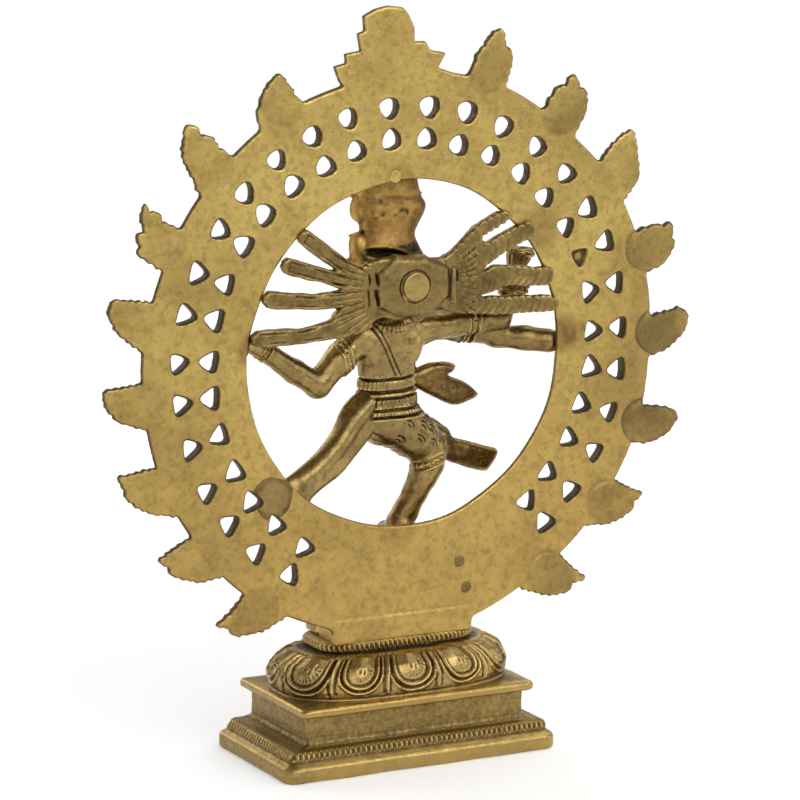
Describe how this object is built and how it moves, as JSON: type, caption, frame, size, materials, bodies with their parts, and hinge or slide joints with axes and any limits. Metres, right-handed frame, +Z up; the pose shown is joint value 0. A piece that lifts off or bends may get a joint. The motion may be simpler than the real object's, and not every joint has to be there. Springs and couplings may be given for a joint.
{
  "type": "brass nataraja statue",
  "caption": "Cast brass dancing figure in a pierced flame ring, on a lotus pedestal and a stepped rectangular plinth, with a riveted hair plate and a sash joined to the ring.",
  "frame": {"origin": "centre of the plinth's underside", "axes": "+Z up, the figure and the ring's decorated side face -Y, +X is the figure's left"},
  "size_m": [0.202, 0.0508, 0.2306],
  "materials": {
    "polished_brass": "satin yellow-olive brass, hand filed and worn bright on its edges",
    "antiqued_brass": "chased brass with dark patina left in the recesses",
    "raw_cast_brass": "rough red-brown cast skin, never polished",
    "rivet_brass": "hammered and filed flush",
    "braze": "dull brown brazing metal"
  },
  "bodies": {
    "root": {"plinth": "polished_brass", "lotus_pedestal": "antiqued_brass", "aureole_ring": "polished_brass", "figure_body": "antiqued_brass", "crown": "raw_cast_brass", "crown_pin": "rivet_brass", "hair_fan": "antiqued_brass", "hair_rivet": "rivet_brass", "waist_sash": "polished_brass", "sash_solder": "braze", "arm_brazes": "braze", "hand_drum": "raw_cast_brass", "hand_flame": "raw_cast_brass", "dwarf": "antiqued_brass", "dwarf_rivets": "rivet_brass"}
  },
  "joints": []
}
